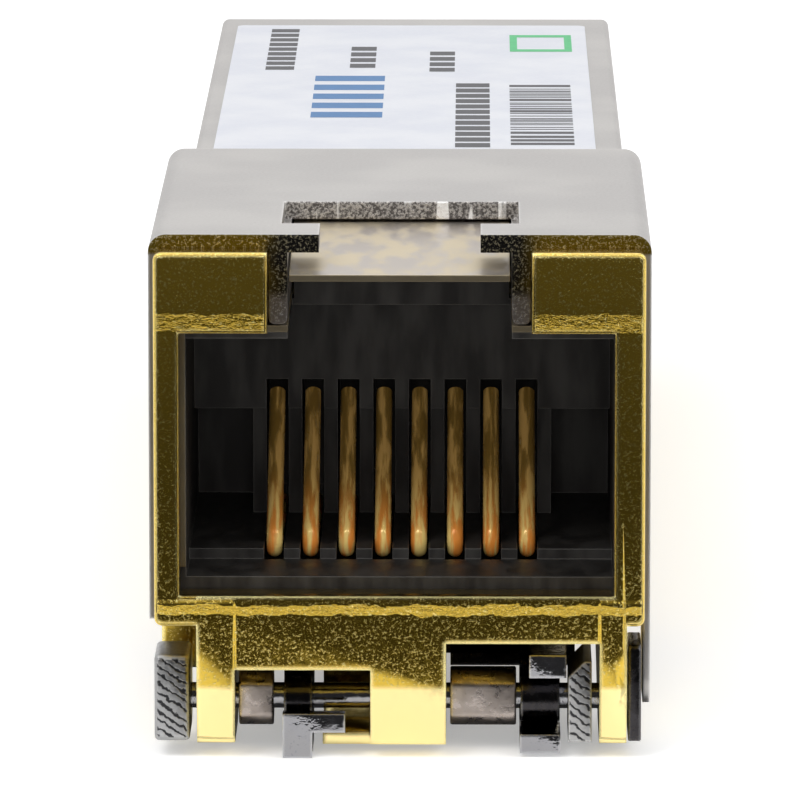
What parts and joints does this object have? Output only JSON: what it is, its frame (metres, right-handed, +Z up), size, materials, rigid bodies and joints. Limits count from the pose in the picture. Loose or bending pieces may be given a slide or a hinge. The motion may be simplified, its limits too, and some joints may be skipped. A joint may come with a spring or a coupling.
{
  "type": "copper sfp transceiver",
  "caption": "Pluggable metal-shelled network transceiver with a modular-jack port, latch rocker, release bail stubs and card-edge connector.",
  "frame": {"origin": "under the middle of the module's bounding box, level with the latch feet", "axes": "+X across the module to the right of someone facing the port, +Y from the port to the edge connector, +Z up"},
  "size_m": [0.0138, 0.065, 0.0146],
  "materials": {
    "gold_plating": "bright gold-coloured plating on a die casting",
    "nickel_cover": "satin nickel",
    "shield_sheet": "bright tinned sheet",
    "chrome_steel": "polished plated steel",
    "satin_steel": "satin turned steel",
    "cut_steel": "sheared and scored steel",
    "dark_steel": "dark polished steel",
    "black_plastic": "moulded, fine satin",
    "contact_gold": "gold-plated wire",
    "board_laminate": "green solder resist",
    "component_black": "moulded epoxy",
    "component_grey": "ferrite",
    "component_tan": "ceramic",
    "label_film": "smooth film"
  },
  "bodies": {
    "housing": {"base_housing": "gold_plating", "top_cover": "nickel_cover", "jack_shield": "shield_sheet", "jack_insert": "black_plastic", "circuit_board": "board_laminate", "edge_pads": "contact_gold", "magnetics_module": "component_black", "line_driver_chip": "component_black", "memory_chip": "component_black", "crystal_can": "shield_sheet", "power_regulator": "component_black", "power_inductor": "component_grey", "capacitors": "component_tan", "cover_screw_1": "chrome_steel", "cover_screw_2": "chrome_steel", "label": "label_film", "rocker_pivot": "chrome_steel", "latch_spring": "chrome_steel", "contact_1": "contact_gold", "contact_2": "contact_gold", "contact_3": "contact_gold", "contact_4": "contact_gold", "contact_5": "contact_gold", "contact_6": "contact_gold", "contact_7": "contact_gold", "contact_8": "contact_gold"},
    "bail": {"release_pin": "chrome_steel", "bail_arm_left": "cut_steel", "bail_arm_inner": "cut_steel", "bail_arm_right": "dark_steel", "pin_sleeve_left": "satin_steel", "pin_sleeve_right": "satin_steel", "cam_left": "dark_steel", "cam_right": "dark_steel"},
    "latch": {"latch_rocker": "chrome_steel"}
  },
  "joints": [
    {"name": "bail_pivot", "type": "hinge", "parent": "housing", "child": "bail", "pos_m": [0, -0.0305, 0.00145], "axis": [1, 0, 0], "range_deg": [0, 90]},
    {"name": "latch_pivot", "type": "hinge", "parent": "housing", "child": "latch", "pos_m": [0, -0.0245, 0.0026], "axis": [1, 0, 0], "range_deg": [0, 3.2], "stiffness_Nm_per_rad": 0.02, "springref_deg": -11.46, "deforming": ["latch_spring"]}
  ],
  "couplings": [
    {"joint": "latch_pivot", "follows": "bail_pivot", "ratio": 0.0355}
  ]
}
